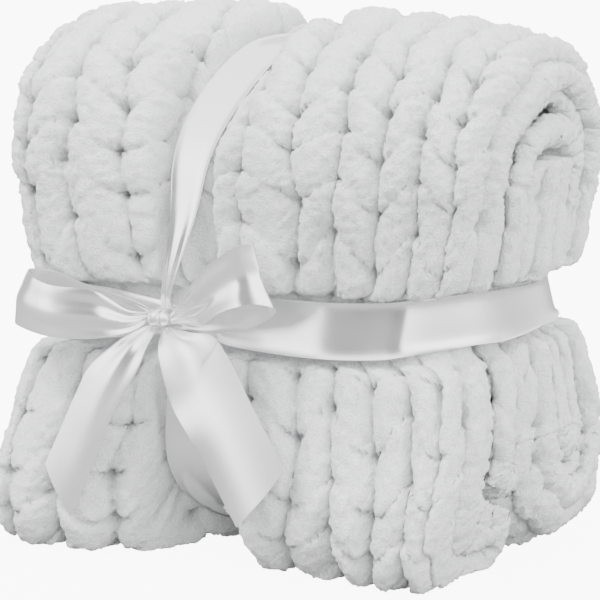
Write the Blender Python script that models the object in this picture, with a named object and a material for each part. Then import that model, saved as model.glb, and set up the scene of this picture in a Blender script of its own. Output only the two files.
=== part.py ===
"""A chunky knit throw, folded into a bundle and tied both ways round with a wide satin ribbon and a bow.

The throw is folded in thirds across its width, which makes a strip of three layers, and the strip is then
folded in thirds along its length: up the front, over the top, down the back, under, and up the middle.
Metres, +Z up, the bow on the -Y side.
"""

import math

import bmesh
import bpy
from mathutils import Vector

# Driving sizes of the folded throw, before the ribbons draw it in.
WIDTH = 0.452  # across the front, from side fold to side fold
HEIGHT = 0.458
KNIT = 0.0290  # one layer of knitting
SLIT = 0.0025  # air between layers that lie on each other
PANEL_GAP = 0.003  # air between the strip's three panels
HEM_INSET = 0.005  # how far a selvedge stops short of the side folds
PRESS = 0.009  # how far the bundle's own weight flattens what it stands on

STRIP = 3 * KNIT + 2 * SLIT
SIDE_FOLD = KNIT + SLIT / 2  # outer radius of a fold between two layers
DEPTH = 3 * STRIP + 2 * PANEL_GAP
FRONT_CURL = STRIP + 0.001  # outer radius of the front hem, which is tucked under
BOTTOM_FOLD = STRIP + PANEL_GAP / 2
TOP_FOLD = DEPTH / 2
SHOULDER = HEIGHT - TOP_FOLD  # where the straight front ends and the top fold starts
MIDDLE_END = SHOULDER + 0.004  # where the middle panel's domed top begins
DOME = 0.020  # how far the strip's inner end reaches past its edges, to fill the top fold
DOME_ROOT = 0.060  # how far from that end its layers begin to be drawn out
TOP_LOFT = 0.20  # how much looser the layers lie over the top fold

# The stitches: columns of slanting legs, two columns to a V.
COLUMNS = 14  # across the outer layer, with its hem and its side fold
WIDER_LEFT = 0.15  # how much wider than the mean the columns are at the left hem
FOLD_COLUMNS = 3  # on the far side's fold
ROW = 0.038  # one stitch along a column
SLANT = 0.24  # how far a leg rises across half its column, in rows
GROOVE = 0.0085  # depth between two columns
DIMPLE = 0.0135  # depth where four legs meet
NOTCH = 0.0060  # depth between two legs of a column
HEM_RELIEF = 0.5  # share of these depths on a hem, which is thin
PRESSED = 0.4  # share of these depths that is left under the waist's ribbon
HIDDEN_STEP = 3  # a hidden face has one line of points in this many, and more in a fold
HIDDEN_X = (-0.140, -0.078, -0.018, 0.060, 0.140)  # and its points across the strip are at these

# The ribbons, and how they draw the bundle in.
RIBBON = 0.050
RIBBON_THICK = 0.0016
RIBBON_GAP = 0.0034  # from the knitting
TURN_LIFT = 1.7  # how much larger that gap is over the top and under the foot, between the bulges
WAIST_Z = 0.206  # height of the level ribbon, before the bundle settles
WAIST_IN = (0.125, 0.23)  # share that it takes from the width and the depth
WAIST_ROUND = 0.12  # how much more it takes from the width at the front and the back
WAIST_RISE = 0.0085  # how much higher it lies at the right end
RISE_REACH = 0.15
UPRIGHT_X = -0.052  # place of the upright ribbon at the front
DRIFT = 0.120  # how much further right it crosses the back
UPRIGHT_IN = (0.20, 0.15)  # share that it takes from the depth and the height
VALLEY = (0.038, 0.078)  # how far a ribbon's steep valley and its soft one reach
STEEP_SHARE = 0.62  # of a valley's depth
OVERHANG = (0.015, 0.016, 0.020)  # how far the bulges lean over a ribbon: left and below, right, above
OVERHANG_AT = 0.052
OVERHANG_SPREAD = 0.020
FOOT = (0.040, 0.034)  # how far the bottom edges bulge under the weight: left of the ribbon in front, elsewhere
CREST = 0.010  # the same for the long top edges
CUT = (0.026, 0.006)  # how far the upright ribbon pulls in the top edges that it crosses, and the bottom ones
FRONT_TRIM = 0.022  # how far the front panel's right fold stops short of the others
LEFT_TRIM = 0.010  # how far the upper lobe's left end stops short of the lower one's
UPPER_LOBE = 0.3  # how far above mid-height that trim is whole, as a share of half the height
FOOT_TRIM = 0.055  # how much further it stops short at its foot
TOP_FALL = 0.0105  # how much lower the top is half a width beside its highest place
TOP_PEAK = -0.45  # where that is, in half widths
NARROW_TOP = 0.02  # share by which the bundle is narrower at its top and bottom
NARROW_BACK = 0.03  # and at its back
WIDER_FOOT = 0.035  # share by which its lower half spreads
THIN_ENDS = 0.05  # share by which it is less deep at its ends
END_DROP = (0.004, 0.006)  # how far its top's ends sink, and how far its foot's ends rise
FOOT_RISE = 0.026  # how far the right end of the foot is lifted behind the front panel
FOOT_RISE_FROM = -0.34
TIED = 0.82  # how much less soon those bulges begin beside the ribbon than its valley ends
EDGE_FROM, EDGE_SPAN = 0.3, 0.5  # where FOOT, CREST and CUT begin, and how soon they are whole
EDGE_RISE = 0.6  # how far an edge is pushed up or down, as a share of how far it is pushed out
EASED = 0.5  # share of the upright valley that is lost where the waist is drawn in

RIBBON_LAID = 0.051  # its width in the block, before settling narrows it
LEDGE = 0.0270  # from a level ribbon's middle to the foot of the bulges beside it
ACROSS = 3  # strips of faces across a ribbon
BIND_STEP = 0.020  # between the lines of points along it
KNOT_SHIFT = 0.028  # how far the knot pulls the upright ribbon aside
KNOT_PULL = 0.0154  # how far it lifts both ribbons off the knitting
GATHER = 0.65  # share of their width that the ribbons lose at the knot
GATHER_REACH = 0.062
WAIST_CORNERS = (0.013, 0.028)  # radii of the level ribbon's corners, at the hems and at the folds
KNOT = (-0.069, -0.130, 0.199)
KNOT_SIZE = (0.0105, 0.0118, 0.0078)  # half its width, depth and height
KNOT_SQUARE = 0.75  # 1 is a round ball, less is squarer
KNOT_PINCH = 0.12  # share by which its wrap is tighter in the middle
BOW_STEP = 0.009  # between the lines of points along a loop or a tail

# The bow's loops and tails, in millimetres: a row is where the upper edge and the lower edge are, and the
# rows run out from the knot. A loop's rows come back to the knot behind it.
LEFT_LOOP = (
    ((-80, -134, 203), (-80, -134, 195)),
    ((-92, -146, 206), (-92, -146, 187)),
    ((-116, -156, 221), (-117, -156, 182)),
    ((-150, -160, 223), (-148, -160, 181)),
    ((-169, -158, 227), (-171, -158, 183)),
    ((-181, -150, 232), (-194, -150, 187)),
    ((-182, -142, 233), (-195, -141, 188)),
    ((-158, -138, 230), (-160, -138, 183)),
    ((-135, -134, 221), (-133, -134, 182)),
    ((-94, -130, 210), (-94, -130, 190)),
    ((-80, -127, 203), (-80, -127, 195)),
)
RIGHT_LOOP = (
    ((-58, -134, 203), (-58, -134, 195)),
    ((-38, -148, 223), (-35, -146, 198)),
    ((-22, -158, 238), (-18, -155, 200)),
    ((-8, -164, 249), (-1, -162, 211)),
    ((13, -166, 263), (17, -166, 218)),
    ((25, -162, 267), (33, -163, 221)),
    ((29, -154, 263), (46, -156, 217)),
    ((20, -144, 256), (37, -147, 208)),
    ((3, -139, 246), (17, -142, 198)),
    ((-18, -135, 231), (-8, -136, 193)),
    ((-43, -130, 212), (-34, -131, 191)),
    ((-58, -127, 203), (-58, -127, 195)),
)
LEFT_TAIL = (
    ((-79, -134, 192), (-70, -133, 190.6)),
    ((-96, -148, 181), (-71, -151, 176)),
    ((-120, -155, 160), (-76, -158, 158)),
    ((-134, -157, 135), (-98, -162, 120)),
    ((-149, -159, 103), (-108, -163, 96)),
    ((-156, -160, 88), (-121, -164, 66)),
    ((-162, -161, 75), (-137, -163, 34)),
)
RIGHT_TAIL = (
    ((-58, -134, 192), (-67, -133, 190.6)),
    ((-34, -147, 192), (-63, -147, 178)),
    ((-10, -153, 191), (-57, -152, 163)),
    ((8, -158, 171), (-44, -158, 133)),
    ((33, -161, 136), (-21, -161, 105)),
    ((62, -161, 95), (21, -158, 46)),
)

ORIGIN = (-0.0003, 0.0042, 0.0)  # shifts the whole so that it stands centred, its bow included
COLOURS = {"yarn": (0.80, 0.81, 0.82, 1.0), "satin": (0.86, 0.86, 0.86, 1.0)}


# --- stretches of a way round the bundle ------------------------------------------------------------------


def arc(centre, radius, start, end):
    """A round stretch, as (length, place at a share of it); a place is (point, angle of the outward normal)."""

    def at(share):
        angle = math.radians(start + (end - start) * share)
        return (centre[0] + radius * math.cos(angle), centre[1] + radius * math.sin(angle)), angle

    return radius * math.radians(abs(end - start)), at


def line(start, end, outward):
    """A straight stretch, in the same form."""

    def at(share):
        point = tuple(a + (b - a) * share for a, b in zip(start, end))
        return point, math.radians(outward)

    return math.dist(start, end), at


def place_on(stretches, distance):
    """(point, outward angle) at a distance along a chain of stretches."""
    for length, at in stretches[:-1]:
        if distance <= length:
            return at(distance / length)
        distance -= length
    length, at = stretches[-1]
    return at(min(distance / length, 1.0))


def total(stretches):
    return sum(length for length, _ in stretches)


def stations(stretches, spacing):
    """Distances along a chain of stretches, with one where each stretch starts."""
    places = []
    for i, (length, _) in enumerate(stretches):
        steps = max(1, round(length / spacing))
        places += [total(stretches[:i]) + length * step / steps for step in range(steps)]
    return places


def outer_way():
    """In the YZ plane: tucked under at the front, up the front, over the top, down the back and under."""
    front, back = -DEPTH / 2, DEPTH / 2
    return [
        arc((front + FRONT_CURL, FRONT_CURL), FRONT_CURL, 270, 180),
        line((front, FRONT_CURL), (front, WAIST_Z - LEDGE), 180),
        line((front, WAIST_Z - LEDGE), (front, WAIST_Z + LEDGE), 180),
        line((front, WAIST_Z + LEDGE), (front, SHOULDER), 180),
        arc((0, SHOULDER), TOP_FOLD, 180, 0),
        line((back, SHOULDER), (back, WAIST_Z + LEDGE), 0),
        line((back, WAIST_Z + LEDGE), (back, WAIST_Z - LEDGE), 0),
        line((back, WAIST_Z - LEDGE), (back, BOTTOM_FOLD), 0),
        arc((back - BOTTOM_FOLD, BOTTOM_FOLD), BOTTOM_FOLD, 0, -90),
    ]


def strip_way():
    """The whole way of the strip's outer face, which ends up the middle of the bundle."""
    fold_y = DEPTH / 2 - BOTTOM_FOLD
    y = fold_y - BOTTOM_FOLD
    return outer_way() + [
        arc((fold_y, BOTTOM_FOLD), BOTTOM_FOLD, 270, 180),
        line((y, BOTTOM_FOLD), (y, WAIST_Z - LEDGE), 180),
        line((y, WAIST_Z - LEDGE), (y, WAIST_Z + LEDGE), 180),
        line((y, WAIST_Z + LEDGE), (y, MIDDLE_END), 180),
    ]


def upright_way():
    """The upright ribbon's closed way, in the YZ plane."""
    under = line((DEPTH / 2 - BOTTOM_FOLD, 0), (FRONT_CURL - DEPTH / 2, 0), 270)
    return outer_way() + [under]


def waist_way():
    """The level ribbon's closed way, in the XY plane, from the middle of the back."""
    left, right = WAIST_CORNERS
    x, y = WIDTH / 2, DEPTH / 2
    return [
        line((0, y), (left - x, y), 90),
        arc((left - x, y - left), left, 90, 180),
        line((-x, y - left), (-x, left - y), 180),
        arc((left - x, left - y), left, 180, 270),
        line((left - x, -y), (x - right, -y), 270),
        arc((x - right, right - y), right, -90, 0),
        line((x, right - y), (x, y - right), 0),
        arc((x - right, y - right), right, 0, 90),
        line((x - right, y), (0, y), 90),
    ]


WAY = strip_way()
LENGTH = total(WAY)
TOP_STARTS = total(WAY[:4])
TOP_ENDS = total(WAY[:5])
BOTTOM_STARTS = total(WAY[:8])
INSIDE = total(WAY[:-3])  # past here the outer face lies between two panels


def loft(place):
    """How much the layers' depth grows at a place: they lie looser over the top fold."""
    share = (place - TOP_STARTS) / (TOP_ENDS - TOP_STARTS)
    if not 0 < share < 1:
        return 1.0
    return 1 + TOP_LOFT * math.sin(math.pi * share) ** 2


def dome(depth):
    """How far the strip's inner end reaches past its edges, to fill the top fold."""
    off_middle = (2 * depth - STRIP) / STRIP
    return DOME * math.sqrt(max(1 - off_middle**2, 0.0))


# --- the strip's section ----------------------------------------------------------------------------------


def arc_point(x, depth, radius, angle):
    """A point of a round edge in the strip's section, with the way to the edge's middle."""
    c, s = math.cos(angle), math.sin(angle)
    return x + radius * c, depth - radius * s, -c, s


def outer_skin(place):
    """(x, depth, inward x, inward depth) along the hem, the outer layer and its side fold."""
    hem, hem_x = math.pi * KNIT / 2, -WIDTH / 2 + HEM_INSET + KNIT / 2
    fold_x = WIDTH / 2 - SIDE_FOLD
    if place < hem:
        x, depth, in_x, in_depth = arc_point(hem_x, KNIT / 2, KNIT / 2, 1.5 * math.pi - place / (KNIT / 2))
        return x, depth, in_x * HEM_RELIEF, in_depth * HEM_RELIEF
    place -= hem
    if place < fold_x - hem_x:
        return hem_x + place, 0.0, 0.0, 1.0
    place -= fold_x - hem_x
    return arc_point(fold_x, SIDE_FOLD, SIDE_FOLD, math.pi / 2 - place / SIDE_FOLD)


OUTER_SKIN = math.pi * KNIT / 2 + WIDTH - HEM_INSET - KNIT / 2 - SIDE_FOLD + math.pi * SIDE_FOLD


def inner_hem(place):
    """The inner layer's free hem, on the right."""
    x = WIDTH / 2 - HEM_INSET - KNIT / 2
    return arc_point(x, 2.5 * KNIT + 2 * SLIT, KNIT / 2, math.pi / 2 - place / (KNIT / 2))


def far_fold(place):
    """The fold between the middle layer and the inner one, on the left."""
    depth = 2 * KNIT + 1.5 * SLIT
    return arc_point(-WIDTH / 2 + SIDE_FOLD, depth, SIDE_FOLD, 1.5 * math.pi - place / SIDE_FOLD)


def columns(skin, length, count, wider_start=0.0):
    """The points of a knitted face, three to a column: (point, place in columns, or None at its ends)."""
    points = []
    for i in range(3 * count + 1):
        share = i / (3 * count)
        share += wider_start * share * (1 - share)
        inside = 0 < i < 3 * count
        points.append((skin(length * share), i / 3 if inside else None))
    return points


def plain(x, depth):
    return (x, depth, 0.0, 0.0), None


def hidden(start, end, depth):
    """The points of a plain face between two layers, from one x to another."""
    inside = [x for x in HIDDEN_X if min(start, end) < x < max(start, end)]
    return [plain(x, depth) for x in (inside if start < end else inside[::-1])]


def section():
    """The strip's closed section, three layers back and forth, as (point, place in columns)."""
    left, right = -WIDTH / 2 + SIDE_FOLD, WIDTH / 2 - SIDE_FOLD
    one, two = KNIT, 2 * KNIT + SLIT
    slit_left = [plain(left, two), plain(left - SLIT / 2, two + SLIT / 2), plain(left, two + SLIT)]
    slit_right = [plain(right, one + SLIT), plain(right + SLIT / 2, one + SLIT / 2), plain(right, one)]
    return (
        columns(outer_skin, OUTER_SKIN, COLUMNS, WIDER_LEFT)
        + hidden(right, left, two)
        + slit_left
        + hidden(left, right, two + SLIT)
        + columns(inner_hem, math.pi * KNIT / 2, 1)
        + hidden(right, left, STRIP)
        + columns(far_fold, math.pi * SIDE_FOLD, FOLD_COLUMNS)
        + hidden(left, right, one + SLIT)
        + slit_right
        + hidden(right, left, one)
    )


def stitch(column, crease, z):
    """(distance to move along, depth to carve) for a point of the knitting.

    Legs slant one way in one column and the other way in the next, so that two columns make V shapes.
    The waist's ribbon presses them flat."""
    free = 1 - steep(z - WAIST_Z)
    side = -1 if int(column) % 2 == 0 else 1
    across = column - int(column)
    move = side * SLANT * ROW * (2 * across - 1) * free
    relief = PRESSED + (1 - PRESSED) * free
    if across < 0.1:
        return move, (DIMPLE if crease else GROOVE) * relief
    return move, (NOTCH if crease else 0.0) * relief


# --- how the ribbons and the weight shape the bundle ------------------------------------------------------


def steep(distance):
    return 1 / (1 + (distance / VALLEY[0]) ** 6)


def valley(distance):
    """How drawn in the bundle is at a distance from a ribbon's middle: 1 under it, 0 far away."""
    soft = 1 / (1 + (distance / VALLEY[1]) ** 4)
    return STEEP_SHARE * steep(distance) + (1 - STEEP_SHARE) * soft


def upright_x(y):
    """Where the upright ribbon's middle is: it runs a little askew."""
    return UPRIGHT_X + DRIFT * (y / DEPTH + 0.5)


def lean(distance, before, after):
    """How far the surface beside a ribbon leans back over it, on its one side and on its other."""
    hump = math.exp(-(((abs(distance) - OVERHANG_AT) / OVERHANG_SPREAD) ** 2))
    return -after * hump if distance > 0 else before * hump


def rim(a, b):
    """1 on the bundle's faces and 0 well inside it."""
    return min(max(abs(a), abs(b)), 1.05) ** 4


def settle(x, y, z):
    """Where a point of the plain folded block comes to lie in the tied bundle."""
    across, deep = x / (WIDTH / 2), y / (DEPTH / 2)
    up = (z - HEIGHT / 2) / (HEIGHT / 2)
    from_waist, from_upright = z - WAIST_Z, x - upright_x(y)
    waist = valley(from_waist)
    upright = valley(from_upright) * (1 - EASED * waist)
    x += lean(from_upright, OVERHANG[0], OVERHANG[1]) * rim(up, deep)
    z += lean(from_waist, OVERHANG[0], OVERHANG[2]) * rim(across, deep)
    tied = steep(from_upright * TIED)
    if up > 0:
        push = CREST * (1 - tied) - CUT[0] * tied
    else:
        push = FOOT[0 if from_upright < 0 and deep < 0 else 1] * (1 - tied) - CUT[1] * tied
    push *= min(max((abs(up * deep) - EDGE_FROM) / EDGE_SPAN, 0.0), 1.0) ** 1.5
    y += push * math.copysign(1.0, deep)
    z += push * math.copysign(EDGE_RISE, up)
    front = max(-deep, 0.0)
    trim = FRONT_TRIM * front**2 + FOOT_TRIM * min(2 * front, 1.0) * max(-up, 0.0) ** 2
    x -= trim * max(across, 0.0) ** 4
    x += LEFT_TRIM * max(-across, 0.0) ** 4 * min(max(up, 0.0) / UPPER_LOBE, 1.0)
    z -= TOP_FALL * (across - TOP_PEAK) ** 2 * max(up, 0.0) ** 2
    x *= 1 - NARROW_TOP * abs(up) ** 6 - NARROW_BACK * max(deep, 0.0) ** 2 + WIDER_FOOT * max(-up, 0.0)
    y *= 1 - THIN_ENDS * across**8
    z -= (END_DROP[0] if up > 0 else -END_DROP[1]) * abs(across) ** 9 * abs(up)
    x *= 1 - (WAIST_IN[0] + WAIST_ROUND * deep**2) * waist
    rise = WAIST_RISE * math.exp(-((from_waist / RISE_REACH) ** 2))
    z += (rise - FOOT_RISE * min(up, 0.0) * (deep > FOOT_RISE_FROM)) * max(across, 0.0) ** 4
    y *= (1 - WAIST_IN[1] * waist) * (1 - UPRIGHT_IN[0] * upright)
    z = HEIGHT / 2 + (z - HEIGHT / 2) * (1 - UPRIGHT_IN[1] * steep(from_upright) * abs(up))
    return x, y, max(z - PRESS, 0.0)


def in_bundle(x, depth, place):
    """A point of the strip, by its place across, through and along it, in the finished bundle."""
    (y, z), angle = place_on(WAY, place)
    z += dome(depth) * max(1 - (LENGTH - place) / DOME_ROOT, 0.0)
    depth *= loft(place)
    return settle(x, y - depth * math.cos(angle), z - depth * math.sin(angle))


# --- solids -----------------------------------------------------------------------------------------------


def finish(name, mesh, colour, smooth_angle=75):
    """Turns a bmesh into a named object with its material."""
    bmesh.ops.recalc_face_normals(mesh, faces=mesh.faces)
    data = bpy.data.meshes.new(name)
    mesh.to_mesh(data)
    mesh.free()
    data.shade_smooth()
    data.set_sharp_from_angle(angle=math.radians(smooth_angle))
    material = bpy.data.materials.get(colour) or bpy.data.materials.new(colour)
    material.use_nodes = True
    shader = material.node_tree.nodes["Principled BSDF"]
    shader.inputs["Base Color"].default_value = COLOURS[colour]
    shader.inputs["Roughness"].default_value = 0.95 if colour == "yarn" else 0.35
    data.materials.append(material)
    thing = bpy.data.objects.new(name, data)
    thing.location = ORIGIN
    bpy.context.scene.collection.objects.link(thing)
    return thing


def strip_stations():
    """(place, whether hidden faces have points there) for each line of points across the strip."""
    marked = []
    for i, (length, _) in enumerate(WAY):
        start, end = total(WAY[:i]), total(WAY[: i + 1])
        steps = round(length / (ROW / 2))
        in_fold = TOP_STARTS <= start < TOP_ENDS or BOTTOM_STARTS <= start < INSIDE
        every = HIDDEN_STEP - 1 if in_fold else HIDDEN_STEP
        marked += [(start + (end - start) * k / steps, k % every == 0) for k in range(steps)]
    return marked + [(LENGTH, True)]


def blanket():
    """The folded throw: one closed solid, its section carried along the strip's way."""
    mesh = bmesh.new()
    marked = strip_stations()
    last = len(marked) - 1
    lines = []
    for (x, depth, in_x, in_depth), column in section():
        line = {}
        for step, (place, shared) in enumerate(marked):
            lies_inside = column is None or (in_x == 0.0 and place > INSIDE + ROW)
            if lies_inside and not shared:
                continue
            height = place_on(WAY, place)[0][1]
            move, carve = (0.0, 0.0) if column is None else stitch(column, step % 2 == 0, height)
            if step in (0, last):
                move = 0.0
            spot = in_bundle(x + in_x * carve, depth + in_depth * carve, place + move)
            line[step] = mesh.verts.new(spot)
        lines.append(line)
    for one, other in zip(lines, lines[1:] + lines[:1]):
        shared = sorted(set(one) & set(other))
        for start, end in zip(shared, shared[1:]):
            near = [one[k] for k in range(start, end + 1) if k in one]
            far = [other[k] for k in range(start, end + 1) if k in other]
            mesh.faces.new(near + far[::-1])
    mesh.faces.new([line[0] for line in lines])
    mesh.faces.new([line[last] for line in lines])
    return finish("blanket", mesh, "yarn")


def sheet(name, rows, closed=False):
    """A thin solid from rows of (inner point, outer point), a row for each line across it."""
    mesh = bmesh.new()
    inner = [[mesh.verts.new(pair[0]) for pair in row] for row in rows]
    outer = [[mesh.verts.new(pair[1]) for pair in row] for row in rows]
    last = len(rows[0]) - 1
    following = list(range(1, len(rows))) + ([0] if closed else [])
    for i, j in enumerate(following):
        for k in range(last):
            mesh.faces.new([inner[i][k], inner[i][k + 1], inner[j][k + 1], inner[j][k]])
            mesh.faces.new([outer[i][k], outer[j][k], outer[j][k + 1], outer[i][k + 1]])
        for k in (0, last):
            mesh.faces.new([inner[i][k], inner[j][k], outer[j][k], outer[i][k]])
    if not closed:
        for end in (0, -1):
            mesh.faces.new(inner[end] + outer[end][::-1])
    return finish(name, mesh, "satin")


def near_knot(distance):
    """1 at the knot, and 0 along a ribbon far from it."""
    return math.exp(-((distance / GATHER_REACH) ** 2))


def spread(width):
    """Places across a ribbon."""
    return [width * (k / ACROSS - 0.5) for k in range(ACROSS + 1)]


def bind(name, stretches, put):
    """A ribbon tied round the bundle: put(a, b, outward a, outward b) is the line across it at a place."""
    rows = []
    for place in stations(stretches, BIND_STEP):
        (a, b), angle = place_on(stretches, place)
        rows.append(put(a, b, math.cos(angle), math.sin(angle)))
    return sheet(name, rows, closed=True)


def upright_ribbon():
    """Over the top, under the bottom, and gathered under the knot; a little drawn together all round."""

    def put(y, z, out_y, out_z):
        knotted = near_knot(z - WAIST_Z) if y < 0 else 0.0
        lift = RIBBON_GAP * (1 + TURN_LIFT * abs(out_z)) + KNOT_PULL * knotted
        row = []
        for across in spread(RIBBON * (1 - GATHER * knotted)):
            x = upright_x(y) - KNOT_SHIFT * knotted + across
            row.append([settle(x, y + off * out_y, z + off * out_z) for off in (lift, lift + RIBBON_THICK)])
        return row

    return bind("ribbon_upright", upright_way(), put)


def waist_ribbon():
    """Level round the bundle, over the upright ribbon, and gathered behind the knot."""

    def put(x, y, out_x, out_y):
        middle = UPRIGHT_X - KNOT_SHIFT if y < 0 else upright_x(y)
        knotted = near_knot(x - middle) if y < 0 else 0.0
        crossing = math.exp(-(((x - middle) / RIBBON) ** 4))
        lift = RIBBON_GAP + crossing * (RIBBON_THICK + RIBBON_GAP) + KNOT_PULL * knotted
        row = []
        for across in spread(RIBBON_LAID * (1 - GATHER * knotted)):
            z = WAIST_Z + across
            row.append([settle(x + off * out_x, y + off * out_y, z) for off in (lift, lift + RIBBON_THICK)])
        return row

    return bind("ribbon_waist", waist_way(), put)


def smooth_rows(table):
    """Lines across a loop or a tail, from its table: a soft curve through the rows, in metres."""
    rows = [[Vector(point) / 1000 for point in row] for row in table]
    rows = [rows[0]] + rows + [rows[-1]]
    lines = []
    for a, b, c, d in zip(rows, rows[1:], rows[2:], rows[3:]):
        steps = max(1, round((c[0] - b[0] + c[1] - b[1]).length / 2 / BOW_STEP))
        for step in range(steps):
            t = step / steps
            lines.append([curve_point(a[k], b[k], c[k], d[k], t) for k in (0, 1)])
    return lines + [rows[-1]]


def curve_point(a, b, c, d, t):
    """A point between b and c on the soft curve through a, b, c and d."""
    return b + 0.5 * t * (c - a + t * (2 * a - 5 * b + 4 * c - d + t * (3 * (b - c) + d - a)))


def bow_piece(name, table):
    """A loop or a tail of the bow."""
    lines = smooth_rows(table)
    rows = []
    for i, (upper, lower) in enumerate(lines):
        before, after = lines[max(i - 1, 0)], lines[min(i + 1, len(lines) - 1)]
        row = []
        for k in range(ACROSS + 1):
            share = k / ACROSS
            middle = upper.lerp(lower, share)
            ahead = after[0].lerp(after[1], share) - before[0].lerp(before[1], share)
            off = ahead.cross(lower - upper).normalized() * RIBBON_THICK / 2
            row.append([middle - off, middle + off])
        rows.append(row)
    return sheet(name, rows)


def knot():
    """The wrap that holds the bow: a small cushion with a waist."""
    mesh = bmesh.new()
    bmesh.ops.create_uvsphere(mesh, u_segments=14, v_segments=9, radius=1)
    for vert in mesh.verts:
        x, y, z = (math.copysign(abs(c) ** KNOT_SQUARE, c) for c in vert.co)
        pinch = 1 - KNOT_PINCH * (1 - x * x)
        vert.co = [c + h * v for c, h, v in zip(KNOT, KNOT_SIZE, (x, y * pinch, z * pinch))]
    return finish("ribbon_knot", mesh, "satin")


def main():
    for old in list(bpy.data.objects):
        bpy.data.objects.remove(old)
    blanket()
    upright_ribbon()
    waist_ribbon()
    knot()
    bow_piece("bow_loop_left", LEFT_LOOP)
    bow_piece("bow_loop_right", RIGHT_LOOP)
    bow_piece("bow_tail_left", LEFT_TAIL)
    bow_piece("bow_tail_right", RIGHT_TAIL)


main()
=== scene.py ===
"""A chunky knit throw, folded into a bundle and tied both ways round with a satin ribbon and a bow.

The knitting and the ribbons are laid on the same folds as the solids: a strip of three layers, carried up the
front, over the top, down the back, under and up the middle. Metres, +Z up, the bow on the -Y side."""

import math

import bpy
import numpy as np
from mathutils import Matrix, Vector, noise


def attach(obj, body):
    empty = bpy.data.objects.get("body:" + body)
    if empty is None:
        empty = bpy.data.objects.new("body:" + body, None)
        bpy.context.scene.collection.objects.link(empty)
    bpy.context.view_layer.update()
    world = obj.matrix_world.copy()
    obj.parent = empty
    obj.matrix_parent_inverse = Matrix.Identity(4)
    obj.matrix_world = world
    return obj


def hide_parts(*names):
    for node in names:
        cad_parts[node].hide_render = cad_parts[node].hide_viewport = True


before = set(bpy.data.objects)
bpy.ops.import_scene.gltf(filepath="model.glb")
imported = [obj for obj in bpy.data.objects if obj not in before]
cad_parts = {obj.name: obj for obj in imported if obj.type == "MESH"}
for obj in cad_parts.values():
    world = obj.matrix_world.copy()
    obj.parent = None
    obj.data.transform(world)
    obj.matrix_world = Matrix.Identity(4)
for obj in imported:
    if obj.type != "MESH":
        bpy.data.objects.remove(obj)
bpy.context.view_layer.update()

# --- the folded block, as the solids have it --------------------------------------------------------------

WIDTH, HEIGHT = 0.452, 0.458
KNIT, SLIT, PANEL_GAP = 0.0290, 0.0025, 0.003
HEM_INSET, PRESS = 0.005, 0.009
STRIP = 3 * KNIT + 2 * SLIT
SIDE_FOLD = KNIT + SLIT / 2
DEPTH = 3 * STRIP + 2 * PANEL_GAP
FRONT_CURL = STRIP + 0.001
BOTTOM_FOLD = STRIP + PANEL_GAP / 2
TOP_FOLD = DEPTH / 2
SHOULDER = HEIGHT - TOP_FOLD
MIDDLE_END = SHOULDER + 0.004
DOME, DOME_ROOT, TOP_LOFT = 0.020, 0.060, 0.20
ROW, HEM_RELIEF, PRESSED = 0.038, 0.5, 0.4
RIBBON, WAIST_Z, WAIST_IN = 0.050, 0.206, (0.125, 0.23)
WAIST_ROUND, WAIST_RISE, RISE_REACH = 0.12, 0.0085, 0.15
UPRIGHT_X, DRIFT, UPRIGHT_IN = -0.052, 0.120, (0.20, 0.15)
VALLEY, STEEP_SHARE = (0.038, 0.078), 0.62
OVERHANG, OVERHANG_AT, OVERHANG_SPREAD = (0.015, 0.016, 0.020), 0.052, 0.020
FOOT_RISE, FOOT_RISE_FROM = 0.026, -0.34
FOOT, CREST, CUT, TIED = (0.040, 0.034), 0.010, (0.026, 0.006), 0.82
FRONT_TRIM, FOOT_TRIM, LEFT_TRIM, UPPER_LOBE = 0.022, 0.055, 0.010, 0.3
TOP_FALL, TOP_PEAK = 0.0105, -0.45
NARROW_TOP, NARROW_BACK, WIDER_FOOT, THIN_ENDS = 0.02, 0.03, 0.035, 0.05
END_DROP = (0.004, 0.006)
EDGE_FROM, EDGE_SPAN, EDGE_RISE = 0.3, 0.5, 0.6
EASED = 0.5
LEDGE, RIBBON_LAID = 0.0270, 0.051
KNOT_SHIFT, KNOT_PULL, GATHER, GATHER_REACH = 0.028, 0.0154, 0.65, 0.062
RIBBON_GAP, RIBBON_THICK, TURN_LIFT = 0.0034, 0.0016, 1.7
WAIST_CORNERS = (0.013, 0.028)
KNOT = (-0.069, -0.130, 0.199)
ORIGIN = np.array((-0.0003, 0.0042, 0.0))  # what brings the settled block over the frame's origin
TINY = 1e-9  # keeps a length from being zero before it divides


def arc(centre, radius, start, end):
    """A round stretch of a way, as (length, place at a share of it)."""

    def at(share):
        angle = np.radians(start + (end - start) * share)
        return centre[0] + radius * np.cos(angle), centre[1] + radius * np.sin(angle), angle

    return radius * math.radians(abs(end - start)), at


def line(start, end, outward):
    """A straight stretch of a way, in the same form."""

    def at(share):
        y, z = (a + (b - a) * share for a, b in zip(start, end))
        return y, z, np.full_like(share, math.radians(outward))

    return math.dist(start, end), at


def total(stretches):
    """How long a chain of stretches is."""
    return sum(length for length, _ in stretches)


def place_on(stretches, distance):
    """Two coordinates and the outward angle, at distances along a chain of stretches."""
    distance = np.asarray(distance, float)
    found = [np.zeros_like(distance) for _ in range(3)]
    start = 0.0
    for i, (length, at) in enumerate(stretches):
        here = distance >= start if i else distance >= -1
        values = at(np.clip((distance - start) / length, 0.0, 1.0))
        for old, new in zip(found, values):
            old[here] = np.broadcast_to(new, distance.shape)[here]
        start += length
    return found


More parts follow.
